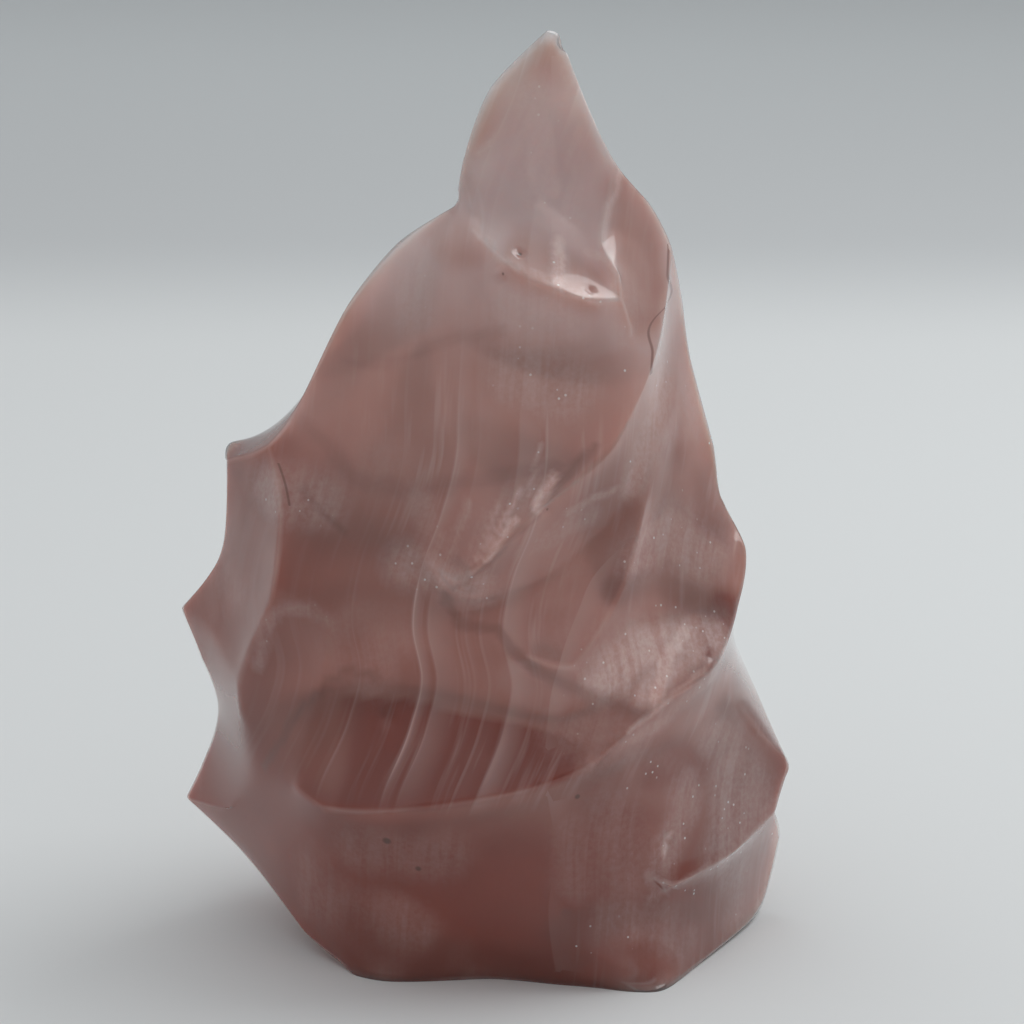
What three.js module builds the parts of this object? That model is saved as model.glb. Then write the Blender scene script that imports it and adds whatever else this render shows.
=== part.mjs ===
// A rose quartz flame: one stone carved into a standing flame, with hollow ground facets that meet
// in sharp polished ridges. Millimetres, +Z up, the broad front faces -Y, and the origin is the
// middle of the flat foot that it stands on.
import * as THREE from 'three';

// How finely the facets are rounded, and how hard they are polished between the ridges
const ROUNDING_STEPS = 2;
const POLISH_PASSES = 3;
const POLISH_STRENGTH = 0.5;

// Corners of the facets, named after the form that they belong to
const corners = {
  // Leaning top horn, a spoon-shaped hollow between two sharp edges
  tip: [6.5, 2, 175.5],
  tipRight: [9, 3, 174],
  hornLeft1: [-4, 0, 165],
  hornLeft2: [-9, -2, 152],
  notch: [-10.5, 0, 143],
  notchFoot: [-13.5, -7, 136],
  hornRight1: [12.5, 1, 165],
  hornRight2: [19, -3, 151.5],
  hornHollow1: [5.5, 0, 150.5],
  hornHollow2: [7, -6, 138.5],

  // Shelf where the hollow of the horn ends in a lip
  lipSide1: [17.5, -7, 143],
  lipSide2: [16.5, -11, 137.5],
  lipSide3: [19.5, -14, 133],
  lip1: [-5.5, -13, 139],
  lip2: [3, -19, 133],
  lip3: [13, -20, 129.5],
  lip4: [20, -16, 128.5],

  // Right-hand edge, from the shoulder down to the blunt right horn
  rightEdge1: [25.5, 3, 143],
  rightEdge2: [30, 4, 134.5],
  rightEdge3: [32.5, 8, 122.5],
  rightEdge4: [34, 7, 112.5],
  rightEdge5: [38.5, 5, 95.5],
  rightEdge6: [40, 3, 86],
  rightHorn: [44.5, -2, 77.5],

  // Sweep: the sharp ridge that runs down across the front from the right shoulder
  brow: [22.5, -14, 117.5],
  sweep1: [28.5, -4, 123.5],
  sweep2: [25.5, -12, 114],
  sweep3: [18, -24, 102],
  sweep4: [6.5, -31, 94],
  sweep5: [-3, -34, 85.5],
  sweep6: [-12.5, -33, 76.5],

  // Flute: the second ridge, below the sweep, with a hollow between the two
  flute1: [29, -8, 103],
  flute2: [25, -17, 92.5],
  flute3: [21, -25, 78.5],
  flute4: [11, -35, 64.5],
  flute5: [-0.5, -37, 69],
  fluteHollow: [9, -24, 77.5],
  rightHollow: [33.5, -15, 73.5],

  // Skirt: the long ridge round the front, from the right horn to the left side
  skirt1: [43, -8, 68],
  skirt2: [37.5, -18, 58.5],
  skirt3: [25.5, -30, 54],
  skirt4: [14, -38, 46],
  skirt5: [-3, -42, 41.5],
  skirt6: [-23, -40, 38],
  skirt7: [-35, -33, 36.5],
  skirt8: [-42.5, -24, 38.5],
  skirt9: [-49.5, -16, 38],

  // Broad front face between the lip, the sweep and the skirt
  front1: [-18, -8, 126.5],
  front2: [1.5, -20, 116],
  front3: [-22.5, -17, 102.5],
  front4: [-6, -25, 95],
  front5: [-30, -23, 77],
  front6: [-13, -31, 63.5],
  front7: [-32, -28, 49.5],
  front8: [1.5, -34, 51],

  // Low right fin, which stands behind the skirt
  finRoot: [41.5, 20, 60.5],
  finEdge: [48, 10, 45],
  finHorn: [54, 0, 33],
  finCrest1: [40.5, -10, 48.5],
  finCrest2: [29, -28, 44.5],

  // Right toe, under the fin
  toeNotch: [51, -3, 24.5],
  toeEdge1: [53, 8, 15.5],
  toeEdge2: [50.5, 8, 3],
  toeHorn: [46, -3, 1],
  toeCrest1: [42.5, -14, 20.5],
  toeCrest2: [33.5, -24, 19],
  toeCrest3: [26, -30, 18.5],

  // Front of the foot
  foot1: [-37, -27, 19.5],
  foot2: [-19, -33, 19],
  foot3: [5, -34, 18.5],
  sill1: [6.5, -34, 11.5],
  sill2: [20, -33.5, 5],
  leftFoot1: [-51.5, -1, 14],
  leftFoot2: [-40, -15, 4.5],

  // Left shoulder and the ridge between the front face and the left side
  leftShoulder1: [-21.5, 6, 135],
  leftShoulder2: [-31.5, 2, 123],
  leftShoulder3: [-39.5, -3, 107],
  cheek1: [-45.5, -10, 99.5],
  cheek2: [-43, -17, 88],
  cheek3: [-45, -21, 72],
  cheek4: [-51.5, -15, 55.5],

  // Left horns, one above another, and the hollow edge between them
  leftHorn1: [-54.5, 1, 94],
  leftHorn1Back: [-54, 9, 95.5],
  leftHorn2: [-64.5, 8, 62.5],
  leftHorn3: [-64.5, 8, 23.5],
  leftCrest2: [-57, -4, 60.5],
  leftCrest3: [-54.5, -5, 26],
  leftEdge1: [-55, 2, 79.5],
  leftEdge2: [-58, 4, 71],
  leftEdge3: [-60, 2, 54],
  leftEdge4: [-57, 1, 44.5],
  leftEdge5: [-60, 4, 33.5],

  // Left wing behind the shoulder
  wing1: [-42.5, 17, 98.5],
  wing2: [-28, 26, 118],
  wing3: [-12, 17, 136],

  // Spine of the back, from the tip down to the foot
  spine1: [8, 12, 160],
  spine2: [4, 24, 136],
  spine3: [-6, 34, 110],
  spine4: [-5, 41, 84],
  spine5: [8, 44, 58],
  spine6: [20, 39, 32],

  // Ribs that leave the spine for the horns
  ribTop: [22, 22, 122],
  ribRight1: [38, 18, 84],
  ribRight2: [22, 31, 94],
  ribFin: [41, 25, 34],
  ribLeft1: [-36, 28, 90],
  ribMiddle1: [-44, 31, 62],
  ribMiddle2: [-20, 42, 60],
  ribLow1: [-44, 30, 28],
  ribLow2: [-13, 42, 30],

  // Flat foot
  baseMiddle: [0, 0, 0],
  base1: [-29.5, -26, 0],
  base2: [-4, -27.5, 0],
  base3: [16.5, -32, 0],
  base4: [30, -31, 0],
  base5: [36, 4, 0],
  base6: [24, 27, 0],
  base7: [-7, 33, 0],
  base8: [-33, 12, 0],
};

// Plain facets, each as its corners counter-clockwise seen from outside
const plainFacets = [
  // Horn hollow and lip
  'hornLeft2 notch lip1 hornHollow2 hornHollow1',
  'lip1 lip2 hornHollow2',
  'lip2 lip3 hornHollow2',
  'lip3 lip4 hornHollow2',
  'lip4 lipSide3 hornHollow2',
  'lipSide3 lipSide2 hornHollow2',
  'lipSide2 lipSide1 hornHollow2',
  'lipSide1 hornRight2 hornHollow1 hornHollow2',

  // Between the brow, the sweep and the flute
  'lip4 brow sweep1',
  'brow sweep3 sweep2 sweep1',
  'sweep2 sweep3 flute2 flute1',
  'sweep3 sweep4 fluteHollow flute2',
  'flute2 fluteHollow flute3',
  'flute3 fluteHollow flute4',
  'flute4 fluteHollow flute5',
  'flute5 fluteHollow sweep6',
  'sweep6 fluteHollow sweep5',
  'sweep5 fluteHollow sweep4',

  // Upper front, under the left shoulder and the lip
  'notch leftShoulder1 notchFoot',
  'notch notchFoot lip1',
  'leftShoulder1 front1 notchFoot',
  'notchFoot front1 lip1',
  'lip1 front1 lip2',
  'lip2 front1 front2',
  'leftShoulder1 leftShoulder2 front1',
  'leftShoulder2 leftShoulder3 front3 front1',
  'front1 front3 front4 front2',
  'lip2 front2 lip3',
  'lip3 front2 brow lip4',
  'front2 sweep3 brow',
  'front2 front4 sweep4 sweep3',
  'front4 sweep5 sweep4',

  // Lower front, down to the skirt
  'leftShoulder3 cheek1 front3',
  'cheek1 cheek2 front5 front3',
  'front3 front5 sweep6 sweep5 front4',
  'cheek2 cheek3 front5',
  'cheek3 cheek4 front7 front5',
  'cheek4 skirt9 skirt8 front7',
  'front5 front7 front6 sweep6',
  'sweep6 front6 flute5',
  'front7 skirt8 skirt7',
  'front7 skirt7 skirt6 front6',
  'front6 skirt6 skirt5 front8',
  'front6 front8 flute4 flute5',
  'front8 skirt5 skirt4',
  'front8 skirt4 skirt3 flute4',

  // Under the skirt, down to the foot
  'skirt2 skirt3 finCrest2 finCrest1',
  'skirt3 skirt4 finCrest2',
  'skirt7 foot1 foot2 skirt6',
  'skirt6 foot2 foot3 skirt5',
  'skirt5 foot3 skirt4',
  'skirt4 foot3 toeCrest3 finCrest2',
  'foot1 base1 foot2',
  'foot2 base1 base2',
  'foot2 base2 sill1',
  'foot2 sill1 foot3',
  'sill1 base2 base3',
  'sill1 base3 sill2',
  'sill2 base3 base4',
  'foot3 sill1 sill2',
  'foot3 sill2 toeCrest3',
  'toeCrest3 sill2 base4',
  'toeHorn base4 base5',

  // Left side, between the second and third horns
  'leftHorn2 leftEdge3 leftCrest2',
  'leftCrest2 leftEdge3 cheek4',
  'cheek4 leftEdge3 leftEdge4',
  'cheek4 leftEdge4 skirt9',
  'skirt9 leftEdge4 leftEdge5',
  'skirt9 leftEdge5 leftCrest3',
  'leftCrest3 leftEdge5 leftHorn3',

  // Small facets of the sides and the back
  'leftHorn1Back wing1 ribLeft1 leftHorn1',
  'rightHorn skirt1 finRoot ribRight1',
  'leftFoot1 base8 base1 leftFoot2',
  'ribLow2 spine6 base6 base7',
];

// Ground hollows, each with the depth of its middle and the corners of its rim, seen from outside
const hollows = [
  // Horn, sweep and flute
  [0.5, 'tip hornLeft1 hornLeft2 hornHollow1 hornRight2 hornRight1 tipRight'],
  [0.5, 'hornRight2 lipSide1 lipSide2 lipSide3 lip4 sweep1 rightEdge2 rightEdge1'],
  [2, 'rightEdge2 sweep1 sweep2 flute1 rightEdge4 rightEdge3'],
  [3, 'rightEdge4 flute1 flute2 flute3 rightHollow skirt1 rightHorn rightEdge6 rightEdge5'],
  [4, 'rightHollow flute3 flute4 skirt3 skirt2 skirt1'],

  // Fin, toe and foot
  [2, 'skirt1 skirt2 finCrest1 finHorn finEdge finRoot'],
  [2, 'finHorn finCrest1 finCrest2 toeCrest3 toeCrest2 toeCrest1 toeNotch'],
  [2, 'toeNotch toeCrest1 toeCrest2 toeCrest3 base4 toeHorn toeEdge2 toeEdge1'],
  [2, 'leftHorn3 leftFoot1 leftFoot2 base1 foot1 skirt7 skirt8 skirt9 leftCrest3'],

  // Left side
  [4, 'cheek1 leftHorn1 leftEdge1 leftEdge2 leftHorn2 leftCrest2 cheek4 cheek3 cheek2'],
  [1, 'notch wing3 wing2 wing1 leftShoulder3 leftShoulder2 leftShoulder1'],
  [1, 'cheek1 leftShoulder3 wing1 leftHorn1Back leftHorn1'],

  // Back of the horn
  [1, 'tip tipRight hornRight1 hornRight2 rightEdge1 rightEdge2 ribTop spine2 spine1'],
  [1, 'tip spine1 spine2 wing3 notch hornLeft2 hornLeft1'],

  // Back, left of the spine
  [4, 'wing3 spine2 spine3 ribLeft1 wing1 wing2'],
  [5, 'leftHorn1 ribLeft1 spine3 spine4 spine5 ribMiddle2 ribMiddle1 leftHorn2 leftEdge2 leftEdge1'],
  [5, 'leftHorn2 ribMiddle1 ribMiddle2 spine5 spine6 ribLow2 ribLow1 leftHorn3 '
    + 'leftEdge5 leftEdge4 leftEdge3'],
  [3, 'leftHorn3 ribLow1 ribLow2 base7 base8 leftFoot1'],

  // Back, right of the spine
  [4, 'rightEdge2 rightEdge3 rightEdge4 rightEdge5 rightEdge6 rightHorn '
    + 'ribRight1 ribRight2 spine3 spine2 ribTop'],
  [6, 'ribRight1 finRoot finEdge finHorn ribFin spine6 spine5 spine4 spine3 ribRight2'],
  [3, 'finHorn toeNotch toeEdge1 toeEdge2 toeHorn base5 base6 spine6 ribFin'],
];

// Sharp ridges, each as its corners in order; one that fades dies out at its last corner
const ridges = [
  { path: 'tip hornLeft1 hornLeft2 notch notchFoot', fades: true },
  {
    path: 'tip tipRight hornRight1 hornRight2 rightEdge1 rightEdge2 rightEdge3 rightEdge4 rightEdge5 '
      + 'rightEdge6 rightHorn skirt1 skirt2 skirt3 skirt4 skirt5 skirt6 skirt7 skirt8 skirt9',
  },
  { path: 'hornRight2 lipSide1 lipSide2 lipSide3 lip4' },
  { path: 'lip1 lip2 lip3 lip4' },
  { path: 'lip4 brow sweep3' },
  { path: 'rightEdge2 sweep1 sweep2 sweep3 sweep4 sweep5 sweep6', fades: true },
  { path: 'rightEdge4 flute1 flute2 flute3 flute4 flute5', fades: true },
  { path: 'notch leftShoulder1 leftShoulder2 leftShoulder3 cheek1 leftHorn1' },
  { path: 'cheek1 cheek2 cheek3 cheek4 skirt9' },
  { path: 'leftHorn1 leftEdge1 leftEdge2 leftHorn2' },
  { path: 'leftHorn2 leftEdge3 leftEdge4 leftEdge5 leftHorn3' },
  { path: 'leftHorn2 leftCrest2 cheek4' },
  { path: 'leftHorn3 leftCrest3 skirt9' },
  { path: 'leftHorn3 leftFoot1 leftFoot2 base1' },
  { path: 'ribRight1 finRoot finEdge finHorn' },
  { path: 'finHorn finCrest1 finCrest2', fades: true },
  { path: 'finHorn toeNotch' },
  { path: 'toeNotch toeCrest1 toeCrest2 toeCrest3', fades: true },
  { path: 'toeNotch toeEdge1 toeEdge2 toeHorn base4' },
  { path: 'base4 sill2 sill1', fades: true },
  { path: 'leftHorn1 leftHorn1Back wing1 wing2 wing3' },
  { path: 'tip spine1 spine2 spine3 spine4 spine5 spine6' },
  { path: 'leftHorn2 ribMiddle1 ribMiddle2 spine5' },
  { path: 'leftHorn3 ribLow1 ribLow2 spine6' },
  { path: 'leftHorn1 ribLeft1 spine3' },
  { path: 'rightHorn ribRight1 ribRight2 spine3' },
  { path: 'rightEdge2 ribTop spine2' },
  { path: 'finHorn ribFin spine6' },
  { path: 'base1 base2 base3 base4 base5 base6 base7 base8', closed: true },
];

const baseRim = 'base1 base8 base7 base6 base5 base4 base3 base2';

const cornerNames = Object.keys(corners);

function numbersOf(path) {
  return path.split(' ').map((name) => cornerNames.indexOf(name));
}

function fan(middle, rim) {
  return rim.map((corner, i) => [middle, corner, rim[(i + 1) % rim.length]]);
}

// A four-sided facet is split along its shorter diagonal, and any other one from its first corner
function splitFacet(points, facet) {
  const [a, b, c, d] = facet;
  if (facet.length === 4 && points[b].distanceTo(points[d]) < points[a].distanceTo(points[c])) {
    return [[b, c, d], [b, d, a]];
  }
  return facet.slice(2).map((corner, i) => [a, facet[i + 1], corner]);
}

// The middle of a hollow lies its depth inside the flat facet that its rim would have
function hollowMiddle(rimPoints, depth) {
  const middle = new THREE.Vector3();
  rimPoints.forEach((point) => middle.addScaledVector(point, 1 / rimPoints.length));
  const outward = new THREE.Vector3();
  rimPoints.forEach((point, i) => {
    const next = rimPoints[(i + 1) % rimPoints.length];
    outward.add(point.clone().sub(middle).cross(next.clone().sub(middle)));
  });
  return middle.addScaledVector(outward.normalize(), -depth);
}

function roughStone() {
  const points = Object.values(corners).map((place) => new THREE.Vector3(...place));
  const triangles = plainFacets.flatMap((path) => splitFacet(points, numbersOf(path)));
  hollows.forEach(([depth, path]) => {
    const rim = numbersOf(path);
    points.push(hollowMiddle(rim.map((corner) => points[corner]), depth));
    triangles.push(...fan(points.length - 1, rim));
  });
  triangles.push(...fan(cornerNames.indexOf('baseMiddle'), numbersOf(baseRim)));
  const creases = ridges.map(({ path, fades = false, closed = false }) => {
    return { line: numbersOf(path), fades, closed };
  });
  return { points, triangles, creases };
}

const edgeKey = (a, b) => (a < b ? `${a} ${b}` : `${b} ${a}`);

function neighboursOf(points, triangles) {
  const neighbours = points.map(() => new Set());
  triangles.forEach(([a, b, c]) => {
    neighbours[a].add(b).add(c);
    neighbours[b].add(a).add(c);
    neighbours[c].add(a).add(b);
  });
  return neighbours;
}

// The points of a ridge stay where they are, apart from the end at which it fades
function ridgePoints(creases) {
  return new Set(creases.flatMap(({ line, fades }) => (fades ? line.slice(0, -1) : line)));
}

// New point halfway along each stretch of a ridge, on a smooth curve through its corners
function halveRidges(points, creases, halfway) {
  return creases.map(({ line, fades, closed }) => {
    const count = line.length;
    const stretches = closed ? count : count - 1;
    const finer = [];
    for (let i = 0; i < stretches; i += 1) {
      const start = line[i];
      const end = line[(i + 1) % count];
      const before = closed || i > 0 ? points[line[(i - 1 + count) % count]] : null;
      const after = closed || i + 2 < count ? points[line[(i + 2) % count]] : null;
      finer.push(start, addHalfway(points, start, end, before, after, halfway));
    }
    if (!closed) {
      finer.push(line[count - 1]);
    }
    return { line: finer, fades, closed };
  });
}

// Four-point curve: past an open end, the curve runs on straight
function addHalfway(points, start, end, before, after, halfway) {
  const key = edgeKey(start, end);
  if (!halfway.has(key)) {
    const first = points[start];
    const second = points[end];
    const outerStart = before ?? first.clone().multiplyScalar(2).sub(second);
    const outerEnd = after ?? second.clone().multiplyScalar(2).sub(first);
    const point = first.clone().add(second).multiplyScalar(9 / 16);
    point.addScaledVector(outerStart, -1 / 16).addScaledVector(outerEnd, -1 / 16);
    points.push(point);
    halfway.set(key, points.length - 1);
  }
  return halfway.get(key);
}

// One step of Loop's rounding, with the ridges kept sharp
function round({ points, triangles, creases }) {
  const finerPoints = points.map((point) => point.clone());
  const halfway = new Map();
  const finerCreases = halveRidges(finerPoints, creases, halfway);

  const opposite = new Map();
  triangles.forEach((triangle) => {
    triangle.forEach((corner, i) => {
      const key = edgeKey(corner, triangle[(i + 1) % 3]);
      opposite.set(key, [...(opposite.get(key) ?? []), triangle[(i + 2) % 3]]);
    });
  });
  opposite.forEach(([left, right], key) => {
    if (halfway.has(key)) {
      return;
    }
    const [start, end] = key.split(' ').map(Number);
    const point = points[start].clone().add(points[end]).multiplyScalar(3 / 8);
    point.addScaledVector(points[left], 1 / 8).addScaledVector(points[right], 1 / 8);
    finerPoints.push(point);
    halfway.set(key, finerPoints.length - 1);
  });

  const fixed = ridgePoints(creases);
  neighboursOf(points, triangles).forEach((neighbours, i) => {
    if (fixed.has(i)) {
      return;
    }
    const count = neighbours.size;
    const share = (5 / 8 - (3 / 8 + Math.cos((2 * Math.PI) / count) / 4) ** 2) / count;
    finerPoints[i].multiplyScalar(1 - count * share);
    neighbours.forEach((other) => finerPoints[i].addScaledVector(points[other], share));
  });

  const finerTriangles = triangles.flatMap(([a, b, c]) => {
    const ab = halfway.get(edgeKey(a, b));
    const bc = halfway.get(edgeKey(b, c));
    const ca = halfway.get(edgeKey(c, a));
    return [[a, ab, ca], [ab, b, bc], [ca, bc, c], [ab, bc, ca]];
  });
  return { points: finerPoints, triangles: finerTriangles, creases: finerCreases };
}

// Polishing draws each point off the ridges towards the middle of its neighbours
function polish({ points, triangles, creases }) {
  const neighbours = neighboursOf(points, triangles);
  const fixed = ridgePoints(creases);
  let smoother = points;
  for (let pass = 0; pass < POLISH_PASSES; pass += 1) {
    const last = smoother;
    smoother = last.map((point, i) => {
      if (fixed.has(i)) {
        return point;
      }
      const middle = new THREE.Vector3();
      neighbours[i].forEach((other) => middle.addScaledVector(last[other], 1 / neighbours[i].size));
      return point.clone().lerp(middle, POLISH_STRENGTH);
    });
  }
  return { points: smoother, triangles, creases };
}

function stoneGeometry() {
  let stone = roughStone();
  for (let step = 0; step < ROUNDING_STEPS; step += 1) {
    stone = polish(round(stone));
  }
  const geometry = new THREE.BufferGeometry();
  const coordinates = stone.points.flatMap((point) => point.toArray());
  geometry.setAttribute('position', new THREE.Float32BufferAttribute(coordinates, 3));
  geometry.setIndex(stone.triangles.flat());
  geometry.computeVertexNormals();
  return geometry;
}

function roseQuartz() {
  return new THREE.MeshStandardMaterial({ color: 0xc79a97, roughness: 0.12, metalness: 0 });
}

const flame = new THREE.Mesh(stoneGeometry(), roseQuartz());
flame.name = 'rose_quartz_flame';

const model = new THREE.Group();
model.add(flame);

export default model;
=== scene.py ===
from math import cos, pi, radians, sin

import bpy
import numpy as np
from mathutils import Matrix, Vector, noise
from mathutils.bvhtree import BVHTree


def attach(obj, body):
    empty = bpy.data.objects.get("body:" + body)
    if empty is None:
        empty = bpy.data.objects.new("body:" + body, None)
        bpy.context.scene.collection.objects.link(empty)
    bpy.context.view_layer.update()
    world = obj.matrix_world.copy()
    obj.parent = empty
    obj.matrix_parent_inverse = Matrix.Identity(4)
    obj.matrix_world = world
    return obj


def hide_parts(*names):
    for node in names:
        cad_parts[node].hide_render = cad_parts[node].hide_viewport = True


# The looks of one rose quartz flame: a carved and polished stone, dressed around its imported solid.
# Metres, +Z up, the broad front faces -Y. Places on the stone are given in millimetres.

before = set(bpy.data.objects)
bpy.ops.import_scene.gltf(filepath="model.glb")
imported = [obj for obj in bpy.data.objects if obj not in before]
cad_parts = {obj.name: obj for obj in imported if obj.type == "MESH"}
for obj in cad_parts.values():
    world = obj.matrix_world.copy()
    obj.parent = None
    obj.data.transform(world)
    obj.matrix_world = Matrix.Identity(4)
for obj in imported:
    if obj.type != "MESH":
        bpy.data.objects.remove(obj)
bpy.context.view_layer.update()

NODE = "rose_quartz_flame"
MM = 0.001

# Finer surface of the stone: how often its facets are rounded, and what counts as a ridge, which is
# a turn this sharp, of more than this many points, that goes on within this turn to either side
WELD_DIGITS = 7
ROUNDING_STEPS = 2
RIDGE_ANGLE = radians(24)
SHORTEST_RIDGE = 6
STRAIGHT_ON = cos(radians(50))

# Polish between the ridges, wear on them, and slight waves that fade out towards the foot
POLISH_PASSES = 3
POLISH_STRENGTH = 0.5
RIDGE_WEAR = 0.35
UNWORN_FOOT = 0.2 * MM
RIPPLE_DEPTH = 0.12 * MM
RIPPLE_LENGTH = 16 * MM
CALM_FOOT = 4 * MM

# Pits and chips along the ridges and in the facets: centre, radius and depth in mm. Their floor is
# level over this share of the radius.
CHIP_FLOOR = 0.2
CHIPS = [
    ((9.4, 2.7, 172.5), 2.0, 0.6),
    ((-23, -32, 53.4), 1.8, 0.6),
    ((-21.4, -32.5, 52.6), 1.2, 0.4),
    ((1.5, -14.1, 136.7), 1.3, 0.4),
    ((-1.8, -16.2, 133.2), 1.3, 0.4),
    ((14.2, -17.3, 130.5), 1.4, 0.4),
    ((6.5, -30.6, 92.6), 1.2, 0.4),
    ((37.1, -16.8, 60.8), 1.8, 0.6),
    ((36.0, -18.0, 58.6), 1.4, 0.5),
    ((29.1, -25.5, 27.6), 1.8, 0.5),
    ((10.2, -33.8, 16.4), 1.4, 0.4),
    ((12, -34.8, 28.7), 1.2, 0.4),
]

# Camera of the photograph: 15 degrees above the stone, with a long lens
CAMERA_HEIGHT_ANGLE = radians(15)
CAMERA_DISTANCE = 0.65
CAMERA_TARGET = Vector((0, 0, 0.084))
CAMERA_LENS = 120
CAMERA_SENSOR = 36

# Floor that curves up into a backdrop, far enough off for a look at the stone's back
STAGE_HALF_WIDTH = 2.6
STAGE_FRONT = -2.6
STAGE_BEND = 1.9
STAGE_RADIUS = 0.4
STAGE_TOP = 1.6

# The stone's optics: light bends as in quartz, passes where the stone is clear, turns rose on its way,
# and scatters this far under the surface in m
QUARTZ_IOR = 1.544
CLEAR_TRANSMISSION = 0.80
HAZY_TRANSMISSION = 0.12
ABSORBED_TO = (0.84, 0.36, 0.27, 1)
ABSORPTION = 9.0
SCATTER_REACH = (0.011, 0.008, 0.007)

# Colours, and how much of each one shows where its marking is strongest
PALE_ROSE = (0.86, 0.71, 0.70, 1)
ROSE = (0.57, 0.30, 0.25, 1)
DEEP_ROSE = (0.29, 0.048, 0.022, 1)
# Milk, also the colour of the painted highlights and painted light in the smears
MILK_AND_HIGHLIGHT = (0.95, 0.83, 0.80, 1)
# Painted shade of the refraction inside the stone, and the colour of the stepped crack
PAINTED_SHADE_AND_CRACK = (0.22, 0.09, 0.07, 1)
BROWN = (0.10, 0.04, 0.02, 1)
# Painted glints, and painted highlights on the ridges
PAINTED_GLINT = (0.95, 0.90, 0.88, 1)
MILK_COLOUR_SHARE = 0.65
RIDGE_HIGHLIGHT_SHARE = 0.16
CRACK_COLOUR_SHARE = 0.7
BROWN_COLOUR_SHARE = 0.8

# Gloss: a soft one from the body of the stone under a polished skin
SOFT_GLOSS = 0.2
POLISH_GLOSS = 1.0
POLISH_ROUGHNESS = 0.04
BODY_ROUGHNESS = 0.16

# Fine grain: waves in a millimetre, and what it adds to the roughness and to the surface
GRAIN_PER_MM = 0.9
GRAIN_ROUGHNESS = 0.08
GRAIN_DEPTH = 0.02 * MM
GRAIN_STRENGTH = 0.35

# Fibres along the veils: waves in a millimetre, stretched in depth and up the stone by these shares,
# and the part of them that shows as streaks
FIBRES_PER_MM = 0.5
FIBRES_IN_DEPTH = 0.2
FIBRES_UP = 0.03
STREAKS = (0.46, 0.8)

# Grain and fibres break the milk into wisps: what each of them adds, and what is left between them
WISP_SHARE = 0.32
WISP_LEAST = 0.36
WISPY_GRAIN = (0.3, 0.7)
WISPY_FIBRES = (0.4, 0.6)

# Tiny flaws drawn as painted glints: how many to a millimetre, where they fade out and are full as shares
# of the space between them, and how flawed the stone is where they start and where all of them show
SPARKLES_PER_MM = 0.42
SPARKLE_RADIUS = (0.13, 0.06)
SPARKLES_WHERE = (0.2, 0.6)

# Patches of such flaws: their length in mm, from which to which value of the noise they set in, and
# between which places (x) in mm they set in to the right
FLAW_PATCH_LENGTH = 13
FLAW_PATCHES = (0.1, 0.6)
FLAWS_RIGHT_OF = (-5, 25)

# How deep the colour is, from 0 pale to 1 deep: up the stone, and what its sides add, in mm. Up the stone
# it is partly the stone's own colour, partly painted shade deeper towards the foot and painted light
# paler towards the top.
DEPTH_AND_PAINTED_LIGHT_UP = [(0, 1.0), (34, 0.94), (42, 0.76), (57, 0.70), (80, 0.66), (92, 0.64), (105, 0.56),
            (125, 0.36), (140, 0.18), (155, 0.06), (168, 0.10), (176, 0.28)]
DEPTH_ACROSS = [(-66, 0.20), (-48, 0.18), (-32, 0.02), (-15, -0.03), (5, -0.03), (22, -0.06), (40, -0.10),
                (55, -0.12)]

# What thin stone, the painted shade of the red zone and the clouds add to the depth of the colour
DEPTH_OF_THIN = 0.16
PAINTED_SHADE_OF_RED_ZONE = 0.34
DEPTH_OF_CLOUDS = -0.08

# Thickness in mm that counts as thick, and as thin. It is measured from just under the surface, and
# evened out this often.
THICK_TO_THIN = (16, 2)
RAY_START = 0.05 * MM
THICKNESS_SMOOTHING = 6

# Places on the front drawn in deeper colour: how much, half width in mm, and (x, z) places in mm
DEEPER = [
    (0.20, 5.0, [(-4, 168), (-9, 155), (-12, 146)]),
    (0.24, 7.0, [(-18, 141), (-10, 138)]),
    (0.36, 8.0, [(22, 147), (24, 136), (25, 126)]),
    (0.25, 7.0, [(2, 135), (14, 131)]),
    (0.20, 6.0, [(32, 108), (32, 98)]),
    (0.32, 7.0, [(39, 93), (40, 84)]),
    (0.50, 6.0, [(40, 67), (40, 60)]),
    (0.30, 8.0, [(27, 43), (33, 40)]),
    (0.16, 9.0, [(17, 43), (20, 33)]),
    (0.22, 6.0, [(24, 80), (22, 77)]),
    (0.08, 7.0, [(8, 69), (14, 67)]),
    (0.10, 8.0, [(-28, 64), (-16, 60)]),
]

# How hazy the stone is up its height, in mm
HAZE_UP = [(0, 0.58), (12, 0.62), (34, 0.60), (42, 0.45), (60, 0.42), (95, 0.50), (108, 0.64),
           (132, 0.62), (145, 0.55), (176, 0.60)]

# Haze of the left side, the places (x) in mm between which it sets in, and haze of the clouds
HAZE_OF_LEFT = 0.2
HAZY_LEFT_OF = (-30, -44)
HAZE_OF_CLOUDS = 0.15

# The front's markings fade out between these depths (y) in mm, and further back on the horn
FRONT_ENDS = (-6, 2)
HORN_SET_BACK = 6
HORN_STARTS = (120, 145)

# Haze, depth and milk vary a little in soft clouds: their length in mm, the length and reach in mm of
# the churn that pulls them about, the milk in them, and the values of the noise where it sets in
CLOUD_LENGTH = 26
CLOUD_CHURN = (20, 6)
CLOUD_MILK = 0.25
MILKY_CLOUDS = (0.1, 0.9)

# Drawn smears and shades are at full strength over this share of their half width, and are made
# uneven by two churns: length and reach in mm
PATH_CORE = 0.2
COARSE_CHURN = (15, 1.5)
FINE_CHURN = (4, 0.5)

# Seed of the churns' random steps, so that they are the same in each run
CHURN_SEED = 7

# Painted highlights along the worn ridges, in patches: their length in mm, and the values of the noise
# where they set in
RIDGE_PATCH_LENGTH = 14
RIDGE_PATCHES = (-0.35, 0.35)

# How the veils lean and bend on their way down, as (z, x) places in mm
VEIL_BEND = [(172, 3), (159, -1.5), (153.5, -4), (146.5, -6.5), (138, -8), (119, -9), (108, -10),
             (101, -10.5), (90, -13), (80, -16.5), (70, -18), (60, -16), (52, -18), (39, -24), (15, -26),
             (0, -27)]

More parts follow.
